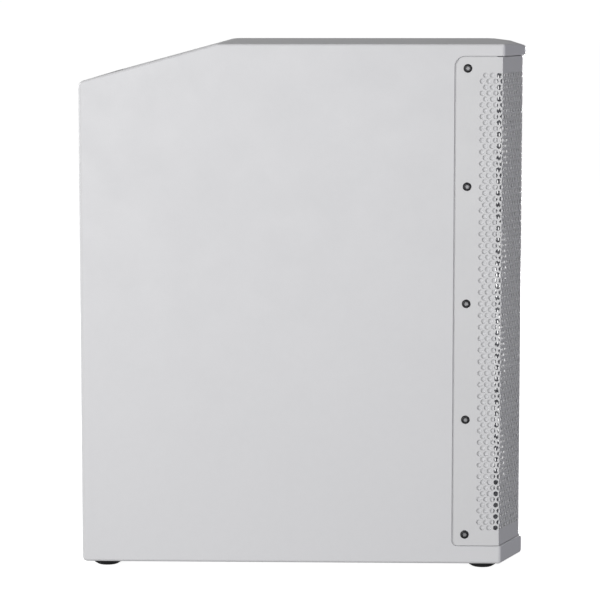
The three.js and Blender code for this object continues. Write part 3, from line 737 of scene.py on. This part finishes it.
def build_cone():
    steps = 44
    front, back = [], []
    for i in range(steps + 1):
        t = i / steps
        radius = 32.1 + 64.9 * t
        y = 49.0 - 49.5 * t ** 0.93
        ridge = 0.45 * max(0.0, math.cos(2 * math.pi * 6 * t)) ** 3 if 0.08 < t < 0.92 else 0.0
        front.append((radius, y - ridge))
        back.append((radius, y + 1.5 - ridge))
    bm = turn(front + back[::-1], ROUND, True)
    place_woofer("cone", bm, CONE, "woofer_cone", "cone_assembly", 60)

    centre, roll, thick = 103.9, 6.6, 0.9
    outside = [(centre + roll * math.cos(a), -0.5 - roll * math.sin(a)) for a in [math.pi * k / 16 for k in range(17)]]
    inside = [
        (centre + (roll - thick) * math.cos(a), -0.5 - (roll - thick) * math.sin(a))
        for a in [math.pi * (16 - k) / 16 for k in range(17)]
    ]
    bm = turn(outside + inside, ROUND, True)
    place_woofer("surround", bm, RUBBER, "woofer_surround", "cone_assembly", 60)

    cap = [(0.0, 23.0)]
    for k in range(1, 15):
        a = math.radians(37.6 * k / 14)
        cap.append((72 * math.sin(a), 23 + 72 * (1 - math.cos(a))))
    under = [(r * 0.985, y + 1.1) for r, y in cap[::-1]]
    under[-1] = (0.0, under[-1][1])
    place_woofer("dust_cap", turn(cap + under, ROUND), CONE, "woofer_dust_cap", "cone_assembly", 50)

    coil = [(31.0, 44), (31.8, 44)]
    for k in range(24):
        coil.append((31.8, 84 + k * 0.9))
        coil.append((31.55, 84.45 + k * 0.9))
    coil += [(31.8, 106), (31.0, 106)]
    place_woofer("voice_coil", turn(coil, ROUND, True), COPPER, "woofer_voice_coil", "cone_assembly", 60)

    waves = [(32.1 + 37.9 * k / 72, 60.3 + 1.9 * math.sin(2 * math.pi * 6 * k / 72)) for k in range(73)]
    bm = turn(waves + [(r, y + 0.6) for r, y in waves[::-1]], ROUND, True)
    place_woofer("spider", bm, SPIDER, "woofer_spider", "cone_assembly", 60)


# ---- Reflex ports ----


def build_ports():
    for name, x in (("left", -PORT_X), ("right", PORT_X)):
        flare = [(42 + 9 - 9 * math.cos(a), -4 + 9 - 9 * math.sin(a)) for a in [math.pi / 2 * k / 8 for k in range(9)]]
        rim = [(55.0, -4.0), (56.0, -3.2), (56.0, -0.3), (46.0, -0.3), (46.0, 149.0), (45.0, 150.0), (42.8, 150.0), (42.0, 149.2)]
        bm = moved(turn(flare + rim, 72, True), x, BAFFLE, PORT_Z)
        port = new_object(f"port_{name}", bm, BLACK_MOULDED, 35)
        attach(port, "cabinet")
        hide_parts(f"port_tube_{name}")


# ---- Control panel, in the slope's own frame ----

KNOB_PLACES = (-96, -32, 32, 96)
KNOB_LINE = 12
BUTTON_PLACES = (-64, 0)
BUTTON_LINE = -32
PLATE_FACE = -14.0


def disc(radius, low, high, sides=32):
    """A bmesh cylinder along Z."""
    outline = [(radius * math.cos(2 * math.pi * k / sides), radius * math.sin(2 * math.pi * k / sides)) for k in range(sides)]
    return prism(outline, low, high)


def build_control_plate():
    plate = prism(rounded(-147.5, -60.5, 147.5, 60.5, 4.6), PLATE_FACE - 2, PLATE_FACE)
    tools = [moved(disc(3.6, -30, 0), x, KNOB_LINE) for x in KNOB_PLACES]
    tools += [moved(disc(4.6, -30, 0), x, BUTTON_LINE) for x in BUTTON_PLACES]
    bm = ease(carve(plate, tools), lambda a, b: 0.4 if a.z > PLATE_FACE - 0.1 and b.z > PLATE_FACE - 0.1 else 0, 2)
    panel = new_object("control_panel", on_slope(bm), BLACK_POWDER, 35)
    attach(panel, "cabinet")
    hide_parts("control_plate")

    screws = []
    for x in (-143.8, -72, 0, 72, 143.8):
        for y in (-57.2, 57.2):
            screw = turned_by(socket_head(2.3, 1.1, 1.0, 1.0, 0.8), 90, "X")
            screws.append(moved(screw, x, y, PLATE_FACE))
    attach(new_object("control_panel_screws", on_slope(merge(*screws)), BLACK_SCREW, 32), "cabinet")

    marks = []
    for x in KNOB_PLACES:
        for k in range(11):
            length = 2.6 if k in (0, 5, 10) else 1.7
            tick = block((-0.28, -11.6 - length, PLATE_FACE - 0.05), (0.28, -11.6, PLATE_FACE + 0.1))
            marks.append(moved(turned_by(tick, 150 - 30 * k, "Z"), x, KNOB_LINE))
    for x in BUTTON_PLACES:
        outer = rounded(-8, -7.5, 8, 7.5, 2)
        inner = rounded(-7.5, -7, 7.5, 7, 1.6)
        frame_mark = carve(prism(outer, PLATE_FACE - 0.05, PLATE_FACE + 0.1), [prism(inner, -20, 0)])
        marks.append(moved(frame_mark, x, BUTTON_LINE))
    for y in (36.0, -15.5):
        marks.append(block((-125, y - 0.25, PLATE_FACE - 0.05), (125, y + 0.25, PLATE_FACE + 0.1)))
    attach(new_object("control_marks", on_slope(merge(*marks)), MARKS, 35), "cabinet")


def knob_body():
    """A knob along Z with a skirt, fluted sides and a dished top, on its shaft."""
    sides, flutes = 96, 16
    base = PLATE_FACE + 0.3
    levels = [
        (-17.0, 2.6, 0), (-16.6, 3.0, 0), (base, 3.0, 0), (base, 8.7, 0), (base + 0.3, 9.0, 0), (base + 1.6, 9.0, 0),
        (base + 2.1, 8.6, 0), (base + 2.9, 7.5, 0.2), (base + 3.6, 7.3, 0.45), (-3.0, 7.0, 0.45), (-2.2, 6.85, 0.3),
        (-1.7, 6.5, 0), (-1.6, 6.1, 0), (-1.75, 5.4, 0), (-2.0, 3.0, 0),
    ]
    bm = bmesh.new()
    rings = []
    for z, radius, depth in levels:
        ring = []
        for k in range(sides):
            angle = 2 * math.pi * k / sides
            r = radius - depth * max(0.0, math.cos(flutes * angle)) ** 2
            ring.append(bm.verts.new((r * math.cos(angle), r * math.sin(angle), z)))
        rings.append(ring)
    for low, high in zip(rings, rings[1:]):
        loop_wall(bm, low, high, True)
    bm.faces.new(rings[0])
    bm.faces.new(rings[-1])
    return bm


def painted_part(bm, index):
    for face in bm.faces:
        face.material_index = index
    return bm


def build_knobs_and_buttons():
    for i, x in enumerate(KNOB_PLACES):
        pointer = prism(rounded(-0.65, -6.7, 0.65, -1.6, 0.5, 4), -2.6, -0.8)
        bm = merge(knob_body(), painted_part(pointer, 1))
        knob = new_object(f"knob_{i + 1}", on_slope(moved(bm, x, KNOB_LINE)), BLACK_MOULDED, 38)
        knob.data.materials.append(MARKS)
        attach(knob, f"level_knob_{i + 1}")
        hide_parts(f"level_knob_{i + 1}")
    for i, x in enumerate(BUTTON_PLACES):
        profile = fillet([(0, -17, 0), (4, -17, 0.3), (4, -11.5, 0.8), (2.6, -11.5, 0.4), (0, -11.9, 0)], 0.3, 3, closed=False)
        bm = turned_by(turn([(r, -y) for r, y in profile], 48), 90, "X")
        for vert in bm.verts:
            vert.co.z = -vert.co.z if vert.co.z > 0 else vert.co.z
        button = new_object(f"button_{i + 1}", on_slope(moved(bm, x, BUTTON_LINE)), GREY_PLASTIC, 38)
        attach(button, f"mode_button_{i + 1}")
        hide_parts(f"mode_button_{i + 1}")


# ---- Amplifier, at the rear ----

AMP_FACE = 223.5
SOCKET_Z = 112.0
INLET = (72.0, 104.0)
SWITCH = (72.0, 152.0)


def bore(radius, x, z, low, high, sides=40):
    """A bmesh cylinder along Y."""
    outline = [(radius * math.cos(2 * math.pi * k / sides), radius * math.sin(2 * math.pi * k / sides)) for k in range(sides)]
    return moved(prism(outline, low, high, "Y"), x, 0, z)


def rear_screw(radius, x, y, z):
    return moved(socket_head(radius, radius * 0.45, radius * 0.45, radius * 0.4, 1.0), x, y, z)


def build_amplifier_plate():
    plate = prism(rounded(-131.5, 50.5, 131.5, 343.5, 3.6), AMP_FACE - 3, AMP_FACE, "Y")
    tools = [bore(12.2, x, SOCKET_Z, 200, 240) for x in (-90, -52, -14)]
    for (x, z), half, tall in ((INLET, 15.4, 11.4), (SWITCH, 9.9, 13.9)):
        tools.append(prism(rounded(x - half, z - tall, x + half, z + tall, 1), 200, 240, "Y"))
    plate = carve(plate, tools)
    front_edge = lambda a, b: 0.5 if a.y > AMP_FACE - 0.1 and b.y > AMP_FACE - 0.1 else 0
    posts = [bore(3, x, z, 181.9, AMP_FACE - 2.9, 20) for x in (-105, 105) for z in (76, 250)]
    bm = merge(ease(plate, front_edge, 2), *posts)
    panel = new_object("amplifier_panel", bm, BLACK_POWDER, 35)
    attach(panel, "cabinet")
    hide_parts("amplifier_plate")

    places = [(x, z) for x in (-125.6, 125.6) for z in (56.4, 128, 197, 266, 337.6)]
    places += [(x, z) for x in (-62, 0, 62) for z in (56.4, 337.6)]
    bm = merge(*[rear_screw(3.2, x, AMP_FACE, z) for x, z in places])
    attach(new_object("amplifier_screws", bm, BLACK_SCREW, 32), "cabinet")


def build_heat_sink():
    fins, half = 17, 100.0
    base, tip = AMP_FACE + 0.3, BACK - 1
    pitch = 2 * half / (fins * 2 - 1)
    outline = [(-half, base, 0.2)]
    for i in range(fins):
        left = -half + 2 * i * pitch
        right = left + pitch
        outline.append((left, base + 2, 0.0 if i == 0 else 0.8))
        outline += [(left + 0.9, tip, 0.9), (right - 0.9, tip, 0.9)]
        outline.append((right, base + 2, 0.0 if i == fins - 1 else 0.8))
    outline.append((half, base, 0.2))
    bm = ease(prism(fillet(outline, 0.8, 3), 196, 326), lambda a, b: 0.35 if abs(a.z - b.z) < 0.01 else 0, 2)
    sink = new_object("finned_heat_sink", bm, ANODISED, 30)
    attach(sink, "cabinet")
    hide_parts("heat_sink")


def build_sockets():
    face = AMP_FACE + 0.3
    for node, x in (("input_socket_1", -90), ("input_socket_2", -52), ("link_socket", -14)):
        flange = prism(rounded(-13, -15.5, 13, 15.5, 2.4), face, face + 2, "Y")
        flange = ease(flange, lambda a, b: 0.5 if min(a.y, b.y) > face + 1.9 else 0, 2)
        barrel = bore(11.8, 0, 0, face - 21, face + 1, 64)
        body = carve(carve(flange, [barrel], "UNION"), [bore(8.5, 0, 0, face - 14, face + 10, 64)])
        latch = prism(rounded(-3, 6.4, 3, 9.6, 0.6), face - 6, face + 1.6, "Y")
        screws = [rear_screw(1.7, a, face + 2, b) for a, b in ((-9.6, 12.2), (9.6, -12.2))]
        contacts = []
        for k in range(3):
            angle = math.radians(90 + 120 * k + 180)
            a, b = 4.6 * math.cos(angle), 4.6 * math.sin(angle)
            if node == "link_socket":
                contacts.append(bore(1.15, a, b, face - 14.5, face - 3, 16))
            else:
                contacts.append(carve(bore(2.0, a, b, face - 14.5, face - 12.4, 20), [bore(1.2, a, b, face - 14, face, 16)]))
        bm = merge(body, latch, *[painted_part(s, 1) for s in screws], *[painted_part(c, 2) for c in contacts])
        socket = new_object(f"{node}_body", moved(bm, x, 0, SOCKET_Z), BLACK_MOULDED, 35)
        socket.data.materials.append(BLACK_SCREW)
        socket.data.materials.append(STEEL)
        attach(socket, "cabinet")
        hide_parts(node)

    flange = prism(rounded(-25, -15, 25, 15, 4), face, face + 2, "Y")
    flange = ease(flange, lambda a, b: 0.5 if min(a.y, b.y) > face + 1.9 else 0, 2)
    body = prism(rounded(-15, -11, 15, 11, 1.5), face - 20, face + 1, "Y")
    hollow = fillet([(-12, -8, 1), (12, -8, 1), (12, 4, 1), (8.5, 8, 1), (-8.5, 8, 1), (-12, 4, 1)], 1, 3)
    body = carve(carve(flange, [body], "UNION"), [prism(hollow, face - 15, face + 10, "Y")])
    pins = [prism(rounded(x - 1.0, z - 2.2, x + 1.0, z + 2.2, 0.4), face - 15.5, face - 3, "Y") for x, z in ((-7, -1.5), (7, -1.5), (0, 2.5))]
    screws = [rear_screw(2.2, x, face + 2, 0) for x in (-20, 20)]
    bm = merge(body, *[painted_part(s, 1) for s in screws], *[painted_part(p, 2) for p in pins])
    inlet = new_object("mains_inlet_body", moved(bm, INLET[0], 0, INLET[1]), BLACK_MOULDED, 35)
    inlet.data.materials.append(BLACK_SCREW)
    inlet.data.materials.append(STEEL)
    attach(inlet, "cabinet")
    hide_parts("mains_inlet")


def build_power_switch():
    face = AMP_FACE + 0.3
    rim = prism(rounded(-11.5, -15.5, 11.5, 15.5, 2), face, face + 1.6, "Y")
    rim = ease(rim, lambda a, b: 0.5 if min(a.y, b.y) > face + 1.5 else 0, 2)
    box = prism(rounded(-9.5, -13.5, 9.5, 13.5, 0.8), face - 16, face + 1, "Y")
    body = carve(carve(rim, [box], "UNION"), [prism(rounded(-7.5, -11.5, 7.5, 11.5, 0.6), face - 14, face + 9, "Y")])
    housing = new_object("switch_frame", moved(body, SWITCH[0], 0, SWITCH[1]), BLACK_MOULDED, 35)
    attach(housing, "cabinet")
    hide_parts("switch_housing")

    outline = fillet([(-6, -4), (-6, 4), (2, 10, 0.3), (5, 10.6, 0.8), (3.6, 5), (3.2, 0, 6), (3.6, -5), (5, -10.6, 0.8), (2, -10, 0.3)], 1, 5)
    bm = ease(prism(outline, -6.9, 6.9, "X"), lambda a, b: 0.5 if abs(a.x - b.x) < 0.01 else 0, 2)
    mark = block((-0.4, 4.0, 5.2), (0.4, 4.5, 8.4))
    bm = turned_by(merge(bm, painted_part(mark, 1)), 7, "X")
    rocker = new_object("rocker", moved(bm, SWITCH[0], face - 2, SWITCH[1]), BLACK_MOULDED, 35)
    rocker.data.materials.append(MARKS)
    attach(rocker, "power_rocker")
    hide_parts("power_rocker")


# ---- Handle ----


def build_handle():
    low, high = 387.0, 463.0
    rim = prism(rounded(-86, low - 11, 86, high + 11, 9), BACK - 2.3, BACK, "Y")
    rim = ease(rim, lambda a, b: 1.0 if min(a.y, b.y) > BACK - 0.1 else 0, 3)
    dish = prism(rounded(-75, low, 75, high, 3.7), BACK - 48, BACK - 1, "Y")
    hollow = prism(rounded(-72, low + 3, 72, high - 3, 8), BACK - 45, BACK + 5, "Y")
    body = carve(carve(rim, [dish], "UNION"), [hollow])

    def lip(a, b):
        at_mouth = min(a.y, b.y) > BACK - 0.05 and max(abs(a.x), abs(b.x)) < 73 and high > a.z > low and high > b.z > low
        at_floor = max(a.y, b.y) < BACK - 44.9 and max(abs(a.x), abs(b.x)) < 73 and min(a.y, b.y) > BACK - 46
        return 1.6 if at_mouth else 3.0 if at_floor else 0.0

    piece = new_object("handle_recess", ease(body, lip, 3), BLACK_MOULDED, 35)
    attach(piece, "cabinet")
    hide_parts("handle_dish")

    half = 71.4
    profile = [(0, -half), (9.9, -half)]
    for k in range(29):
        x = -half + 2 + (2 * half - 4) * k / 28
        profile.append((9.2 + 0.75 * abs(x / half) ** 2, x))
    profile += [(9.9, half), (0, half)]
    bar = turned_by(turn(profile, 48), 90, "Z")
    grip = new_object("handle_grip", moved(bar, 0, BACK - 14, 425), BLACK_MOULDED, 40)
    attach(grip, "cabinet")
    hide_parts("handle_bar")


# ---- Inside ----


def build_capacitors():
    for i, x in enumerate((-66, -30)):
        profile = fillet(
            [(0, 139.9, 0), (9.5, 139.9, 0.6), (10.4, 140.4, 0.6), (12.3, 139.7, 1.2), (12.3, 176, 1), (11.6, 177.4, 1),
             (12.3, 179, 0.6), (12.3, 179.7, 0.2), (0, 179.7, 0)], 0.6, 3, closed=False)
        can = new_object(f"capacitor_{i + 1}", moved(turn(profile, 48), x, 0, 205), BLACK_MOULDED, 35)
        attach(can, "cabinet")
        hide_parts(f"filter_capacitor_{i + 1}")


def dress(node, surface, radius):
    """A CAD node that keeps its shape: its material, and its sharp edges eased by a modifier."""
    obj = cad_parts[node]
    obj.data.materials.clear()
    obj.data.materials.append(surface)
    weld = obj.modifiers.new("weld", "WELD")
    weld.merge_threshold = 1e-5
    bevel = obj.modifiers.new("ease", "BEVEL")
    bevel.width = radius * MM
    bevel.segments = 2
    bevel.limit_method = "ANGLE"
    bevel.angle_limit = math.radians(40)


def dress_cad_nodes():
    dress("front_baffle", INNER_PAINT, 0.8)
    dress("shelf_brace", INNER_PAINT, 0.8)
    dress("control_board", BOARD, 0.15)
    dress("main_board", BOARD, 0.15)
    dress("transformer", FERRITE, 0.5)
    dress("woofer_terminal_block", BLACK_MOULDED, 0.4)
    dress("control_ribbon", GREY_PLASTIC, 0.2)
    dress("speaker_lead", RUBBER, 0.1)


# ---- Camera, floor and light ----


def aim(obj, place, target):
    obj.location = place
    obj.rotation_euler = (Vector(target) - Vector(place)).to_track_quat("-Z", "Y").to_euler()


def add_camera():
    camera = bpy.data.cameras.new("camera")
    camera.sensor_width = 36.0
    camera.lens = 144.0
    camera.shift_y = -0.085
    camera.clip_end = 100.0
    obj = bpy.data.objects.new("camera", camera)
    bpy.context.scene.collection.objects.link(obj)
    obj.location = (-2.6446, -0.0671, 0.6019)
    yaw, pitch = math.radians(1.62), math.radians(6.04)
    direction = Vector((math.cos(yaw) * math.cos(pitch), math.sin(yaw) * math.cos(pitch), -math.sin(pitch)))
    obj.rotation_euler = direction.to_track_quat("-Z", "Y").to_euler()
    bpy.context.scene.camera = obj


def floor_material():
    made = bpy.data.materials.new("floor")
    made.use_nodes = True
    shader = made.node_tree.nodes["Principled BSDF"]
    shader.inputs["Base Color"].default_value = (0.5, 0.5, 0.5, 1)
    shader.inputs["Roughness"].default_value = 1.0
    shader.inputs["Specular IOR Level"].default_value = 0.0
    shader.inputs["Emission Color"].default_value = (1, 1, 1, 1)
    shader.inputs["Emission Strength"].default_value = 0.91
    return made


def add_floor():
    bm = bmesh.new()
    bmesh.ops.create_circle(bm, cap_ends=True, segments=96, radius=30000)
    floor = new_object("floor", bm, floor_material(), weighted=False)
    floor.visible_diffuse = False
    floor.visible_glossy = False


def area_light(name, place, target, width, height, power, color=(1, 1, 1)):
    light = bpy.data.lights.new(name, "AREA")
    light.shape = "RECTANGLE"
    light.size = width
    light.size_y = height
    light.energy = power
    light.color = color
    obj = bpy.data.objects.new(name, light)
    bpy.context.scene.collection.objects.link(obj)
    aim(obj, place, target)


def add_lights():
    """Soft light from the side, and a backdrop that is white to the camera and dim to the object."""
    world = bpy.data.worlds.new("studio")
    world.use_nodes = True
    tree = world.node_tree
    dim = tree.nodes["Background"]
    dim.inputs["Color"].default_value = (1, 1, 1, 1)
    dim.inputs["Strength"].default_value = 0.21
    white = tree.nodes.new("ShaderNodeBackground")
    white.inputs["Color"].default_value = (1, 1, 1, 1)
    white.inputs["Strength"].default_value = 1.02
    path = tree.nodes.new("ShaderNodeLightPath")
    mix = tree.nodes.new("ShaderNodeMixShader")
    tree.links.new(path.outputs["Is Camera Ray"], mix.inputs["Fac"])
    tree.links.new(dim.outputs["Background"], mix.inputs[1])
    tree.links.new(white.outputs["Background"], mix.inputs[2])
    tree.links.new(mix.outputs["Shader"], tree.nodes["World Output"].inputs["Surface"])
    bpy.context.scene.world = world
    area_light("key", (-2.6, 0.8, 0.62), (0, 0, 0.35), 2.4, 1.1, 55)
    area_light("front_fill", (-0.6, -2.8, 0.35), (0, 0, 0.3), 1.6, 0.7, 6.0, (0.72, 0.72, 1.0))
    area_light("right_fill", (2.6, -1.1, 0.25), (0, 0, 0.27), 0.8, 0.5, 48)
    area_light("rear_fill", (1.2, 2.6, 1.0), (0, 0, 0.4), 1.6, 0.6, 48)
    area_light("top_fill", (0.2, 0.9, 3.0), (0, 0.1, 0.5), 1.0, 1.0, 8)


add_camera()
add_floor()
add_lights()
bpy.context.scene.view_settings.view_transform = "Standard"
build_cabinet()
build_grille()
build_grille_screws()
build_feet()
build_basket()
build_motor()
build_gasket()
build_cone()
build_ports()
build_control_plate()
build_knobs_and_buttons()
build_amplifier_plate()
build_heat_sink()
build_sockets()
build_power_switch()
build_handle()
build_capacitors()
dress_cad_nodes()
